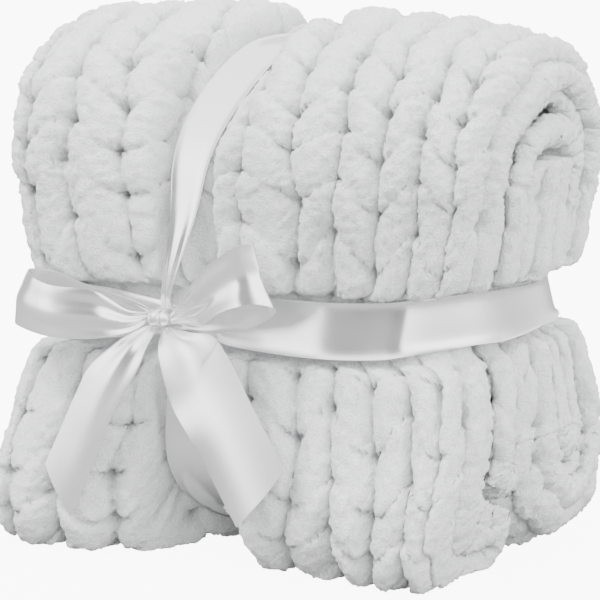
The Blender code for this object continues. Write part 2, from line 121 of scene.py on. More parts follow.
FRONT, BACK = -DEPTH / 2, DEPTH / 2
FOLD_Y = BACK - BOTTOM_FOLD
MIDDLE_Y = FOLD_Y - BOTTOM_FOLD
OUTER_WAY = [
    arc((FRONT + FRONT_CURL, FRONT_CURL), FRONT_CURL, 270, 180),
    line((FRONT, FRONT_CURL), (FRONT, WAIST_Z - LEDGE), 180),
    line((FRONT, WAIST_Z - LEDGE), (FRONT, WAIST_Z + LEDGE), 180),
    line((FRONT, WAIST_Z + LEDGE), (FRONT, SHOULDER), 180),
    arc((0, SHOULDER), TOP_FOLD, 180, 0),
    line((BACK, SHOULDER), (BACK, WAIST_Z + LEDGE), 0),
    line((BACK, WAIST_Z + LEDGE), (BACK, WAIST_Z - LEDGE), 0),
    line((BACK, WAIST_Z - LEDGE), (BACK, BOTTOM_FOLD), 0),
    arc((FOLD_Y, BOTTOM_FOLD), BOTTOM_FOLD, 0, -90),
]
WAY = OUTER_WAY + [
    arc((FOLD_Y, BOTTOM_FOLD), BOTTOM_FOLD, 270, 180),
    line((MIDDLE_Y, BOTTOM_FOLD), (MIDDLE_Y, WAIST_Z - LEDGE), 180),
    line((MIDDLE_Y, WAIST_Z - LEDGE), (MIDDLE_Y, WAIST_Z + LEDGE), 180),
    line((MIDDLE_Y, WAIST_Z + LEDGE), (MIDDLE_Y, MIDDLE_END), 180),
]
UPRIGHT_WAY = OUTER_WAY + [line((FOLD_Y, 0), (FRONT_CURL + FRONT, 0), 270)]
LENGTH = total(WAY)
TOP_STARTS, TOP_ENDS = total(WAY[:4]), total(WAY[:5])
INSIDE = total(WAY[:-3])


def waist_way():
    """The level ribbon's way round the block, in x and y."""
    left, right = WAIST_CORNERS
    x, y = WIDTH / 2, DEPTH / 2
    return [
        line((0, y), (left - x, y), 90),
        arc((left - x, y - left), left, 90, 180),
        line((-x, y - left), (-x, left - y), 180),
        arc((left - x, left - y), left, 180, 270),
        line((left - x, -y), (x - right, -y), 270),
        arc((x - right, right - y), right, -90, 0),
        line((x, right - y), (x, y - right), 0),
        arc((x - right, y - right), right, 0, 90),
        line((x - right, y), (0, y), 90),
    ]


def row_count(place):
    """How many rows of stitches lie before a place along the strip."""
    places = []
    for i, (length, _) in enumerate(WAY):
        steps = round(length / (ROW / 2))
        places += [total(WAY[:i]) + length * k / steps for k in range(steps)]
    places.append(LENGTH)
    return np.interp(place, places, np.arange(len(places)) / 2)


def steep(distance):
    """The steep part of a ribbon's valley: 1 under its middle, 0 away from it."""
    return 1 / (1 + (distance / VALLEY[0]) ** 6)


def valley(distance):
    """The whole valley, steep in the middle and soft beyond."""
    soft = 1 / (1 + (distance / VALLEY[1]) ** 4)
    return STEEP_SHARE * steep(distance) + (1 - STEEP_SHARE) * soft


def upright_x(y):
    """Where the upright ribbon crosses the block at a depth."""
    return UPRIGHT_X + DRIFT * (y / DEPTH + 0.5)


def lean(distance, before, after):
    """How far the bulges beside a ribbon lean over it."""
    hump = np.exp(-(((abs(distance) - OVERHANG_AT) / OVERHANG_SPREAD) ** 2))
    return np.where(distance > 0, -after, before) * hump


def rim(a, b):
    """1 at the block's outside, 0 in its middle."""
    return np.minimum(np.maximum(abs(a), abs(b)), 1.05) ** 4


def near_knot(distance):
    """1 at the knot, 0 away from it."""
    return np.exp(-((distance / GATHER_REACH) ** 2))


def settle(x, y, z):
    """Where points of the plain folded block come to lie in the tied bundle."""
    across, deep = x / (WIDTH / 2), y / (DEPTH / 2)
    up = (z - HEIGHT / 2) / (HEIGHT / 2)
    from_waist, from_upright = z - WAIST_Z, x - upright_x(y)
    waist = valley(from_waist)
    upright = valley(from_upright) * (1 - EASED * waist)
    x = x + lean(from_upright, OVERHANG[0], OVERHANG[1]) * rim(up, deep)
    z = z + lean(from_waist, OVERHANG[0], OVERHANG[2]) * rim(across, deep)
    tied = steep(from_upright * TIED)
    foot = np.where((from_upright < 0) & (deep < 0), FOOT[0], FOOT[1])
    push = np.where(up > 0, CREST * (1 - tied) - CUT[0] * tied, foot * (1 - tied) - CUT[1] * tied)
    push = push * np.clip((abs(up * deep) - EDGE_FROM) / EDGE_SPAN, 0.0, 1.0) ** 1.5
    y = y + np.copysign(1.0, deep) * push
    z = z + np.copysign(1.0, up) * push * EDGE_RISE
    front = np.maximum(-deep, 0.0)
    trim = FRONT_TRIM * front**2 + FOOT_TRIM * np.minimum(2 * front, 1.0) * np.maximum(-up, 0.0) ** 2
    x = x - trim * np.maximum(across, 0.0) ** 4
    x = x + LEFT_TRIM * np.maximum(-across, 0.0) ** 4 * np.clip(up / UPPER_LOBE, 0.0, 1.0)
    z = z - TOP_FALL * (across - TOP_PEAK) ** 2 * np.maximum(up, 0.0) ** 2
    narrow = NARROW_TOP * abs(up) ** 6 + NARROW_BACK * np.maximum(deep, 0.0) ** 2
    x = x * (1 - narrow + WIDER_FOOT * np.maximum(-up, 0.0))
    y = y * (1 - THIN_ENDS * across**8)
    z = z - np.where(up > 0, END_DROP[0], -END_DROP[1]) * abs(across) ** 9 * abs(up)
    x = x * (1 - (WAIST_IN[0] + WAIST_ROUND * deep**2) * waist)
    rise = WAIST_RISE * np.exp(-((from_waist / RISE_REACH) ** 2))
    z = z + (rise - FOOT_RISE * np.minimum(up, 0.0) * (deep > FOOT_RISE_FROM)) * np.maximum(across, 0.0) ** 4
    y = y * (1 - WAIST_IN[1] * waist) * (1 - UPRIGHT_IN[0] * upright)
    z = HEIGHT / 2 + (z - HEIGHT / 2) * (1 - UPRIGHT_IN[1] * steep(from_upright) * abs(up))
    return np.stack((x, y, np.maximum(z - PRESS, 0.0)), -1) + ORIGIN


def in_bundle(x, depth, place):
    """Points of the strip, by their places across, through and along it, in the finished bundle."""
    y, z, angle = place_on(WAY, place)
    off_middle = np.clip((2 * depth - STRIP) / STRIP, -1, 1)
    z = z + DOME * np.sqrt(1 - off_middle**2) * np.maximum(1 - (LENGTH - place) / DOME_ROOT, 0.0)
    share = np.clip((place - TOP_STARTS) / (TOP_ENDS - TOP_STARTS), 0.0, 1.0)
    depth = depth * (1 + TOP_LOFT * np.sin(np.pi * share) ** 2)
    return settle(x, y - depth * np.cos(angle), z - depth * np.sin(angle))


# --- meshes -----------------------------------------------------------------------------------------------


def build(name, points, faces, material):
    """A smoothly shaded object from points and lists of faces."""
    data = bpy.data.meshes.new(name)
    sizes = np.array([len(face) for face in faces])
    corners = np.concatenate([np.asarray(face) for face in faces])
    starts = np.concatenate(([0], np.cumsum(sizes)[:-1]))
    points = points.reshape(-1, 3).astype(np.float32)
    data.vertices.add(len(points))
    data.vertices.foreach_set("co", points.ravel())
    data.loops.add(len(corners))
    data.loops.foreach_set("vertex_index", corners.astype(np.int32))
    data.polygons.add(len(sizes))
    data.polygons.foreach_set("loop_start", starts.astype(np.int32))
    data.update(calc_edges=True)
    data.validate()
    data.shade_smooth()
    data.materials.append(material)
    thing = bpy.data.objects.new(name, data)
    bpy.context.scene.collection.objects.link(thing)
    return thing


def tube_faces(rows, cols, ring=False):
    """Faces of a tube of points, a row for each round: quads, and an end on each side unless it is a ring."""
    i, j = np.meshgrid(np.arange(rows if ring else rows - 1), np.arange(cols), indexing="ij")
    k, after = (j + 1) % cols, (i + 1) % rows
    corners = (i * cols + j, i * cols + k, after * cols + k, after * cols + j)
    quads = np.stack(corners, -1).reshape(-1, 4).tolist()
    if ring:
        return quads
    last = (rows - 1) * cols
    return quads + [list(range(cols))[::-1], list(range(last, last + cols))]


def square_to(one, other):
    """Unit vectors square to two directions at each point."""
    up = np.cross(one, other)
    return up / np.maximum(np.linalg.norm(up, axis=-1, keepdims=True), TINY)


# --- the knitting -----------------------------------------------------------------------------------------

WIDER_LEFT = 0.17  # how much wider than the mean the columns are at the left hem
SLANT = 0.32  # how far a stitch rises across half its column, in rows
GROOVE = 0.0165  # depth between two columns of stitches
NOTCH = 0.0066  # depth between two stitches of a column, at its edges
CREASED = 0.14  # share of that depth in the column's middle
CORNER = 0.0080  # how much deeper it is where four stitches meet
LIFT = 0.0010  # how far the plump stitches stand over the solid's faces
TWIST = 0.26  # how far the top of a stitch leans sideways over its foot
WARP = (0.11, 0.15)  # unevenness of the columns and of the rows, in columns and rows
WARP_SCALE = 0.8  # waves of that unevenness to a stitch
PUFF = 0.0022  # unevenness of the stitches' plumpness
JITTER, JITTER_FROM = (64, 128), 8  # size of its table in columns and rows, and where it is begun
ROUND_ACROSS, ROUND_ALONG = 2.1, 3.0  # powers of a stitch's roundness
GROOVE_SHARE = (0.72, 0.38)  # share of the groove's depth all along it, and added where stitches meet
WAVE, WAVE_SCALE, WAVE_SEED = 0.0020, 14.0, 21  # slow unevenness of the cloth, in waves to a metre
PILE = 0.0012  # tufts of the yarn's pile
TUFTS = ((0.8, 130.0, 31), (1.0, 300.0, 36), (0.6, 520.0, 41))  # their shares, waves to a metre and seeds
RIBBON_REACH = 0.034  # how far from a ribbon's middle the knitting is pressed
PRESSED_IN, PRESSED_FLAT = 0.0008, 0.9  # how deep it is pressed there, and the share of its unevenness lost
END_FADE = 0.012  # length over which the relief runs out at the strip's two ends
PAINTED_SHADE_DARKEST_AT = 0.018  # depth of relief where the painted shade between the stitches is darkest
COLUMN_EASE = 0.10  # how much closer a column's points stand at its edges
CROWDED = 0.4  # the stitches flatten where a bend shortens them to less than this share
FINE, FINE_INSIDE = 16, 12  # lines of points to a row of stitches, outside and inside the bundle
PER_COLUMN = 18  # points across a column
FRONT_COLUMNS = 11  # from the hem to the side fold
FOLD_COLUMNS = np.array((0.37, 0.71, 1.0))  # where the columns of a side fold end, in shares of it
FAR_COLUMNS = np.array((0, 0.5, 1))  # where those of the far fold begin and end
INNER_HEM_FROM, FAR_FOLD_FROM = 20, 30  # numbers of the first columns there
HIDDEN_ACROSS = 9  # points across a hidden layer
NOISE_SHIFT, NOISE_GAIN = (7.3, 3.1, 5.7), 1.6  # how far apart seeds lie, and what brings noise to about 1


def soft_noise(points, scale, seed):
    """Smooth noise of about -1 to 1 at rows of three coordinates."""
    shift = Vector([seed * way for way in NOISE_SHIFT])
    flat = (points.reshape(-1, 3) * scale).tolist()
    made = np.fromiter((noise.noise(Vector(p) + shift) for p in flat), float, len(flat))
    return made.reshape(points.shape[:-1]) * NOISE_GAIN


def relief(column, row, free, seed):
    """How deep the surface lies at places in columns and rows: plump slanting stitches."""
    at = np.stack((column * WARP_SCALE, row * WARP_SCALE, np.zeros_like(row)), -1)
    column = column + WARP[0] * soft_noise(at, 1.0, seed)
    row = row + WARP[1] * soft_noise(at, 1.0, seed + 1)
    i = np.floor(column)
    a = 2 * (column - i) - 1
    side = np.where(i % 2 == 0, -1.0, 1.0)
    r = row - side * SLANT * a * free
    k = np.floor(r)
    f = r - k
    b = 2 * f - 1
    near = abs(a)
    a = a - TWIST * side * b * (1 - a * a)
    ridge = np.sqrt(np.maximum(1 - abs(a) ** ROUND_ACROSS, 0.0))
    cusp = 1 - np.sqrt(np.maximum(1 - abs(b) ** ROUND_ALONG, 0.0))
    crease = cusp * near**1.5 + b**6 * (1 - near**1.5)
    jitter = np.random.default_rng(seed + 5).uniform(-1, 1, JITTER)
    stitch = tuple((number.astype(int) + JITTER_FROM) % size for number, size in zip((i, k), JITTER))
    plump = jitter[stitch] * (1 - b**4) * ridge * PUFF
    groove = GROOVE * (1 - ridge) * (GROOVE_SHARE[0] + GROOVE_SHARE[1] * cusp)
    notch = NOTCH * crease * (CREASED + (1 - CREASED) * near**3)
    return groove + notch + CORNER * near**8 * abs(b) ** 8 - LIFT - plump


def arc_point(x, depth, radius, angle):
    """A point of a hem or fold of the section: x, depth, and the way inward in both."""
    c, s = np.cos(angle), np.sin(angle)
    return x + radius * c, depth - radius * s, -c, s


HEM_ROUND = math.pi * KNIT / 2
HEM_X = -WIDTH / 2 + HEM_INSET + KNIT / 2
FOLD_X = WIDTH / 2 - SIDE_FOLD


def outer_skin(place):
    """The section's outside at places along it: its hem, its flat face and its side fold."""
    past = place - HEM_ROUND - FOLD_X + HEM_X
    hem = arc_point(HEM_X, KNIT / 2, KNIT / 2, 1.5 * math.pi - place / (KNIT / 2))
    fold = arc_point(FOLD_X, SIDE_FOLD, SIDE_FOLD, math.pi / 2 - past / SIDE_FOLD)
    on_hem, on_fold = place < HEM_ROUND, place > HEM_ROUND + FOLD_X - HEM_X
    flat = (HEM_X + place - HEM_ROUND, 0 * place, 0 * place, 0 * place + 1)
    found = [np.where(on_hem, h, np.where(on_fold, f, l)) for h, f, l in zip(hem, fold, flat)]
    thin = np.where(on_hem, HEM_RELIEF + (1 - HEM_RELIEF) * np.clip(place / HEM_ROUND, 0, 1) ** 2, 1.0)
    return found[0], found[1], found[2] * thin, found[3] * thin


def inner_hem(place):
    """The hem of the section's innermost layer."""
    x = WIDTH / 2 - HEM_INSET - KNIT / 2
    x, depth, in_x, in_depth = arc_point(x, 2.5 * KNIT + 2 * SLIT, KNIT / 2, math.pi / 2 - place / (KNIT / 2))
    return x, depth, in_x * HEM_RELIEF, in_depth * HEM_RELIEF


def far_fold(place):
    """The section's other fold, between its two inner layers."""
    angle = 1.5 * math.pi - place / SIDE_FOLD
    return arc_point(-WIDTH / 2 + SIDE_FOLD, 2 * KNIT + 1.5 * SLIT, SIDE_FOLD, angle)


def columns(skin, edges, first):
    """Points across a knitted face with these column edges: x, depth, inward x, inward depth, column."""
    count = len(edges) - 1
    ease = np.arange(PER_COLUMN) / PER_COLUMN
    ease = ease - COLUMN_EASE * np.sin(2 * math.pi * ease) / math.pi
    place = np.concatenate([(np.arange(count)[:, None] + ease).ravel(), [count]])
    made = skin(np.interp(place, np.arange(count + 1), edges))
    return np.stack((*made, first + place), -1)


def outer_edges():
    """Where the columns of the outer face begin, wider at the hem."""
    share = np.arange(FRONT_COLUMNS + 1) / FRONT_COLUMNS
    start = HEM_ROUND + FOLD_X - HEM_X
    front = start * (share + WIDER_LEFT * share * (1 - share))
    return np.concatenate((front, start + FOLD_COLUMNS * math.pi * SIDE_FOLD))


def plain(xs, depth):
    """Points of a hidden face, which has no stitches: its column is -1."""
    xs = np.asarray(xs, float)
    return np.stack((xs, 0 * xs + depth, 0 * xs, 0 * xs, 0 * xs - 1), -1)


def section():
    """The strip's closed section, three layers back and forth."""
    left, right = -WIDTH / 2 + SIDE_FOLD, WIDTH / 2 - SIDE_FOLD
    one, two = KNIT, 2 * KNIT + SLIT
    go = np.linspace(left, right, HIDDEN_ACROSS)[1:-1]
    return np.concatenate(
        (
            columns(outer_skin, outer_edges(), 0),
            plain(go[::-1], two),
            plain([left], two),
            plain([left - SLIT / 2], two + SLIT / 2),
            plain([left], two + SLIT),
            plain(go, two + SLIT),
            columns(inner_hem, [0, HEM_ROUND], INNER_HEM_FROM),
            plain(go[::-1], STRIP),
            columns(far_fold, FAR_COLUMNS * math.pi * SIDE_FOLD, FAR_FOLD_FROM),
            plain(go, one + SLIT),
            plain([right], one + SLIT),
            plain([right + SLIT / 2], one + SLIT / 2),
            plain([right], one),
            plain(go[::-1], one),
        )
    )


def normals(points):
    """The way outward at each point of a closed tube of points."""
    along = np.gradient(points, axis=0)
    across = np.roll(points, -1, 1) - np.roll(points, 1, 1)
    return square_to(across, along)


def pressed(x, y, z):
    """1 under a ribbon, 0 elsewhere."""
    course = upright_x(y) - np.where(y < 0, KNOT_SHIFT * near_knot(z - WAIST_Z), 0.0)
    under = [1 / (1 + (d / RIBBON_REACH) ** 8) for d in (z - WAIST_Z, x - course)]
    return np.maximum(*under)


def knit_points(places):
    """The strip's surface at places along it: a grid of points, a row for each place."""
    x, depth, in_x, in_depth, column = section().T
    place, column_grid = np.meshgrid(places, column, indexing="ij")
    knitted = column_grid >= 0
    way_y, height, _ = place_on(WAY, place)
    free = 1 - steep(height - WAIST_Z)
    flat = pressed(x, way_y, height)
    row = row_count(place)
    carve = np.zeros_like(place)
    carve[knitted] = relief(column_grid[knitted], row[knitted], free[knitted], 3)
    carve *= PRESSED + (1 - PRESSED) * free
    carve = np.where(carve < 0, carve * (1 - flat), carve)
    ends = np.clip(np.minimum(place, LENGTH - place) / END_FADE, 0.0, 1.0)
    carve = np.where(knitted, carve * ends, 0.0)
    carve = np.where((in_x[None] == 0) & (place > INSIDE + ROW), 0.0, carve)
    bare = in_bundle(x + 0 * carve, depth + 0 * carve, place)
    stretch = np.linalg.norm(np.gradient(bare, axis=0), axis=-1) / (places[1] - places[0])
    carve = carve * np.clip(stretch / CROWDED, 0.0, 1.0)
    points = in_bundle(x + in_x * carve, depth + in_depth * carve, place)
    missing = np.maximum(abs(carve) - np.linalg.norm(points - bare, axis=-1), 0.0) * np.sign(carve)
    points = points - normals(bare) * missing[..., None]
    return points, knitted, carve, flat


def knit_places(start, end, fine):
    """Places along the strip, so many to a row of stitches."""
    count = max(2, round((end - start) / ROW * fine))
    return np.linspace(start, end, count + 1)


def knitting(name, start, end, fine, material):
    """A length of the strip as a closed piece."""
    places = knit_places(start, end, fine)
    points, knitted, carve, flat = knit_points(places)
    up = normals(points)
    wave = WAVE * soft_noise(points, WAVE_SCALE, WAVE_SEED)
    pile = PILE * sum(share * soft_noise(points, scale, seed) for share, scale, seed in TUFTS)
    move = np.where(knitted, (wave + pile) * (1 - PRESSED_FLAT * flat) - PRESSED_IN * flat, 0.0)
    points = points + up * move[..., None]
    points[..., 2] = np.maximum(points[..., 2], 0.0)
    thing = build(name, points, tube_faces(*points.shape[:2]), material)
    # painted shade: the relief's depth is kept on the points, to darken the yarn between the stitches
    painted_shade = thing.data.attributes.new("depth", "FLOAT", "POINT")
    painted_shade.data.foreach_set("value", np.clip(carve / PAINTED_SHADE_DARKEST_AT, 0, 1).astype(np.float32).ravel())
    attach(thing, "root")
    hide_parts("blanket")
    return thing


# --- materials --------------------------------------------------------------------------------------------

YARN_LIT, YARN_PAINTED_SHADE = (0.83, 0.84, 0.845, 1), (0.38, 0.385, 0.40, 1)  # the yarn's own colour on the stitches, and painted shade between them
SATIN_WHITE = (0.93, 0.93, 0.935, 1)


def new_material(name):
    """A material, its nodes and its shader."""
    material = bpy.data.materials.new(name)
    material.use_nodes = True
    tree = material.node_tree
    return material, tree, tree.nodes["Principled BSDF"]


def add(tree, kind, **values):
    """A node with these settings, or these values on its inputs."""
    node = tree.nodes.new(kind)
    for key, value in values.items():
        if hasattr(node, key):
            setattr(node, key, value)
        else:
            node.inputs[key.replace("_", " ")].default_value = value
    return node


def yarn_material():
    """Velvety chenille: matt, with a pile of fine tufts, and painted shade deep between the stitches."""
    material, tree, shader = new_material("yarn_chenille")
    link = tree.links.new
    shader.inputs["Roughness"].default_value = 1.0
    shader.inputs["Specular IOR Level"].default_value = 0.12
    shader.inputs["Sheen Weight"].default_value = 0.35
    shader.inputs["Sheen Roughness"].default_value = 0.6
    coords = add(tree, "ShaderNodeTexCoord")
    tufts = add(tree, "ShaderNodeTexNoise", Scale=560.0, Detail=3.0, Roughness=0.7)
    link(coords.outputs["Object"], tufts.inputs["Vector"])
    clumps = add(tree, "ShaderNodeTexNoise", Scale=120.0, Detail=2.0, Roughness=0.6)
    link(coords.outputs["Object"], clumps.inputs["Vector"])
    # painted shade: the depth attribute darkens the yarn from its own colour towards grey where the relief
    # lies deep between stitches
    depth = add(tree, "ShaderNodeAttribute", attribute_name="depth")
    painted_shade_ramp = add(tree, "ShaderNodeValToRGB")
    painted_shade_ramp.color_ramp.elements[0].color = YARN_LIT
    painted_shade_ramp.color_ramp.elements[1].color = YARN_PAINTED_SHADE
    painted_shade_ramp.color_ramp.elements[0].position = 0.30
    painted_shade_ramp.color_ramp.elements[1].position = 1.0
    link(depth.outputs["Fac"], painted_shade_ramp.inputs["Fac"])
    mottle = add(tree, "ShaderNodeMix", data_type="RGBA", blend_type="MULTIPLY")
    mottle.inputs["Factor"].default_value = 1.0
    grain = add(tree, "ShaderNodeMapRange")
    grain.inputs["From Min"].default_value = 0.30
    grain.inputs["From Max"].default_value = 0.70
    grain.inputs["To Min"].default_value = 0.80
    grain.inputs["To Max"].default_value = 1.12
    link(tufts.outputs["Fac"], grain.inputs["Value"])
    link(painted_shade_ramp.outputs["Color"], mottle.inputs["A"])
    link(grain.outputs["Result"], mottle.inputs["B"])
    link(mottle.outputs["Result"], shader.inputs["Base Color"])
    fine = add(tree, "ShaderNodeBump", Strength=1.0, Distance=0.0021)
    link(tufts.outputs["Fac"], fine.inputs["Height"])
    coarse = add(tree, "ShaderNodeBump", Strength=0.5, Distance=0.0025)
    link(clumps.outputs["Fac"], coarse.inputs["Height"])
    link(fine.outputs["Normal"], coarse.inputs["Normal"])
    link(coarse.outputs["Normal"], shader.inputs["Normal"])
    return material


def satin_material():
    """White satin: a soft metallic sheen, drawn out across the weave."""
    material, tree, shader = new_material("satin_white")
    link = tree.links.new
    shader.inputs["Base Color"].default_value = SATIN_WHITE
    shader.inputs["Roughness"].default_value = 0.24
    shader.inputs["Metallic"].default_value = 0.85
    shader.inputs["Specular IOR Level"].default_value = 0.6
    shader.inputs["Anisotropic"].default_value = 0.8
    shader.inputs["Anisotropic Rotation"].default_value = 0.25
    coords = add(tree, "ShaderNodeTexCoord")
    weave = add(tree, "ShaderNodeTexNoise", Scale=900.0, Detail=2.0)
    link(coords.outputs["Object"], weave.inputs["Vector"])
    bump = add(tree, "ShaderNodeBump", Strength=0.06, Distance=0.0004)
    link(weave.outputs["Fac"], bump.inputs["Height"])
    link(bump.outputs["Normal"], shader.inputs["Normal"])
    return material


# --- the ribbons ------------------------------------------------------------------------------------------

CLOTH = 0.0006  # thickness of the satin
SHARP = math.radians(60)  # a sheet's edge shows as an edge past this turn
STEP = 0.004  # between two lines across a ribbon
SPREAD = np.concatenate(([0.0, 0.018], np.linspace(0.06, 0.94, 12), [0.982, 1.0]))  # places across a ribbon

# The upright ribbon in front, where it is drawn to the knot.
GATHER_MORE, GATHER_FROM = 0.76, (0.115, 0.060)  # share of its width lost, and from how far above and below
PLEAT, PLEATS, PLEATS_FROM = 0.0007, 12, 0.8  # depth of its pleats, and their wave across it
FREE_REACH = 0.075  # how far from the waist its lines are spaced evenly in height
TAUT_Y, TAUT_REACH = 0.1240, 0.085  # how far forward it is held there, and how far up and down
SPAN = 12  # how sharply it leaves the knitting for that
TUCK, TUCK_REACH = 0.008, 0.014  # how far it is tucked in behind the knot

# The level ribbon.
WAIST_PLEAT, WAIST_PLEATS = 0.0012, 22  # depth of its pleats at the knot, and their wave across it
TIPPED, TIPPED_ABOUT = 0.0105, 0.35  # how much further out its lower edge stands, and which place stays
BOWED, BOWED_AT, BOWED_REACH = 0.0046, 0.091, 0.042  # how far it bows out right of the bow, where, how widely
BOWED_OUT = 0.0014  # how far it stands off the knitting all round, besides RIBBON_GAP
EVEN_HEIGHT, EVEN_RUN, EVEN_TIMES = 7, 3, 2  # lines on each side that its height and its run are evened over


def stations(stretches):
    """Places along a ribbon's closed way, about STEP apart."""
    length = total(stretches)
    count = round(length / STEP)
    return np.arange(count) * length / count


def thin(name, middle, material, closed, nodes, flat, held, rests_on):
    """A thin closed sheet from a grid of the points of its middle, a row for each line across it."""
    if closed:
        along = np.roll(middle, -1, 0) - np.roll(middle, 1, 0)
    else:
        along = np.gradient(middle, axis=0)
    up = square_to(along, np.gradient(middle, axis=1))
    one, other = middle + up * CLOTH / 2, middle - up * CLOTH / 2
    points = np.concatenate((one, other[:, ::-1]), 1)
    thing = build(name, points, tube_faces(*points.shape[:2], closed), material)
    thing.data.set_sharp_from_angle(angle=SHARP)
    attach(thing, "root")
    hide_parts(*nodes)
    return thing


def draw_in(points, front):
    """Gather the upright ribbon's front towards the knot, and span it there from one lobe to the other."""
    middle = points.mean(1, keepdims=True)
    reach = np.where(middle[..., 2] > KNOT[2], *GATHER_FROM)
    near = front[:, None] * np.exp(-(((middle[..., 2] - KNOT[2]) / reach) ** 2))
    share = (SPREAD - 0.5)[None]
    drawn = 1 - GATHER_MORE * near
    aside = middle[..., 0]
    points[..., 0] = aside + (KNOT[0] - aside) * near**4 + (points[..., 0] - aside) * drawn
    pleat = PLEAT * near**2 * np.sin(share * PLEATS + PLEATS_FROM)
    span = TAUT_Y - TUCK * np.exp(-(((points[..., 2] - KNOT[2]) / TUCK_REACH) ** 2))
    spanned = -((abs(points[..., 1]) ** SPAN + span**SPAN) ** (1 / SPAN)) - pleat
    held = front[:, None] * np.exp(-(((points[..., 2] - KNOT[2]) / TAUT_REACH) ** 4))
    points[..., 1] += (spanned - points[..., 1]) * held
    return points


def upright_ribbon(material):
    """The ribbon over the top, down the back and under the foot, drawn to the knot in front."""
    places = stations(UPRIGHT_WAY)
    y, z, angle = place_on(UPRIGHT_WAY, places)
    lift = (RIBBON_GAP * (1 + TURN_LIFT * abs(np.sin(angle))) + RIBBON_THICK / 2)[:, None]
    x = upright_x(y)[:, None] + RIBBON * (SPREAD - 0.5)
    front = y < 0
    out, up = lift * np.cos(angle)[:, None], lift * np.sin(angle)[:, None]
    points = settle(x, y[:, None] + out, z[:, None] + up)
    free = np.flatnonzero(front & (abs(z - WAIST_Z) < FREE_REACH))
    points[free, :, 2] = np.linspace(points[free[0], :, 2], points[free[-1], :, 2], len(free))
    return thin(
        "ribbon_upright_satin", draw_in(points, front), material, True, ["ribbon_upright"],
        (RIBBON, 1.16), "stretched", ["blanket"],
    )


def evened(values, reach):
    """The mean of each line's values and those of its neighbours, round the ribbon."""
    return np.mean([np.roll(values, k, 0) for k in range(-reach, reach + 1)], 0)


def waist_ribbon(material):
    """The level ribbon, over the upright one where they cross."""
    way = waist_way()
    places = stations(way)
    x, y, angle = place_on(way, places)
    middle = np.where(y < 0, UPRIGHT_X - KNOT_SHIFT, upright_x(y))
    knotted = np.where(y < 0, near_knot(x - middle), 0.0)
    crossing = np.exp(-(((x - middle) / RIBBON) ** 4))
    bowed = np.where(y < 0, BOWED * np.exp(-(((x - BOWED_AT) / BOWED_REACH) ** 2)), 0.0)
    lift = RIBBON_GAP + crossing * (RIBBON_THICK + RIBBON_GAP) + KNOT_PULL * knotted + RIBBON_THICK / 2
    lift = lift + bowed + BOWED_OUT
    share = SPREAD - 0.5
    z = WAIST_Z + (RIBBON_LAID * (1 - GATHER * knotted))[:, None] * share
    pleat = WAIST_PLEAT * knotted[:, None] * np.sin(share * WAIST_PLEATS)
    off = lift[:, None] + pleat + TIPPED * (1 - knotted)[:, None] * (TIPPED_ABOUT - share)
    xx = x[:, None] + off * np.cos(angle)[:, None]
    yy = y[:, None] + off * np.sin(angle)[:, None]
    points = settle(xx, yy, z)
    points[..., 2] = evened(points[..., 2], EVEN_HEIGHT)
    for _ in range(EVEN_TIMES):
        points[..., :2] = evened(points[..., :2], EVEN_RUN)
    return thin(
        "ribbon_waist_satin", points, material, True, ["ribbon_waist"],
        (RIBBON, 1.28), "stretched", ["blanket"],
    )


# The bow: where its two edges run, in millimetres from the middle of the block's foot, from the knot outward.
LEFT_LOOP = (
    ((-80, -134, 203), (-80, -134, 195)),
    ((-92, -146, 206), (-92, -146, 187)),
    ((-116, -156, 221), (-117, -156, 182)),
    ((-150, -160, 223), (-148, -160, 181)),
    ((-169, -158, 227), (-171, -158, 183)),
    ((-181, -150, 232), (-194, -150, 187)),
    ((-182, -142, 233), (-195, -141, 188)),
    ((-158, -138, 230), (-160, -138, 183)),
    ((-135, -134, 221), (-133, -134, 182)),
    ((-94, -130, 210), (-94, -130, 190)),
    ((-80, -127, 203), (-80, -127, 195)),
)
RIGHT_LOOP = (
    ((-58, -134, 203), (-58, -134, 195)),
    ((-38, -148, 223), (-35, -146, 198)),
    ((-22, -158, 238), (-18, -155, 200)),
    ((-8, -164, 249), (-1, -162, 211)),
    ((13, -166, 263), (17, -166, 218)),
    ((25, -162, 267), (33, -163, 221)),
    ((29, -154, 263), (46, -156, 217)),
    ((20, -144, 256), (37, -147, 208)),
    ((3, -139, 246), (17, -142, 198)),
    ((-18, -135, 231), (-8, -136, 193)),
    ((-43, -130, 212), (-34, -131, 191)),
    ((-58, -127, 203), (-58, -127, 195)),
)
LEFT_TAIL = (
    ((-79, -134, 192), (-70, -133, 190.6)),
    ((-96, -148, 181), (-71, -151, 176)),
    ((-120, -155, 160), (-76, -158, 158)),
    ((-134, -157, 135), (-98, -162, 120)),
    ((-149, -159, 103), (-108, -163, 96)),
    ((-156, -160, 88), (-121, -164, 66)),
    ((-162, -161, 75), (-137, -163, 34)),
)
RIGHT_TAIL = (
    ((-58, -134, 192), (-67, -133, 190.6)),
    ((-34, -146, 192), (-63, -147, 178)),
    ((-10, -152, 191), (-57, -153, 163)),
    ((8, -157, 171), (-44, -158, 133)),
    ((33, -164, 136), (-21, -165, 105)),
    ((62, -173, 95), (21, -174, 46)),
)

ROW_STEPS = 8  # lines to a row of these tables
ROOT_FADE = 7  # how soon the knot's hold on a loop or a tail fades along it
BOW_PLEAT, BOW_PLEATS, BOW_PLEATS_FROM = 0.0055, 13, 1.0  # depth of their pleats there, and their wave across
KNOT_HALF = (0.0105, 0.0118, 0.0078)  # half the knot's width, depth and height
KNOT_ACROSS, KNOT_ROUND = 24, 40  # its faces across and round
KNOT_SQUARE = 0.8  # 1 is a round section, less is squarer
KNOT_ENDS = (0.86, 0.1, 0.04)  # shares of its section that round off, taper and stay towards its ends
KNOT_FOLD, KNOT_FOLDS, KNOT_WAIST = 0.09, 8, 0.10  # its slanting folds, and how much tighter its middle is


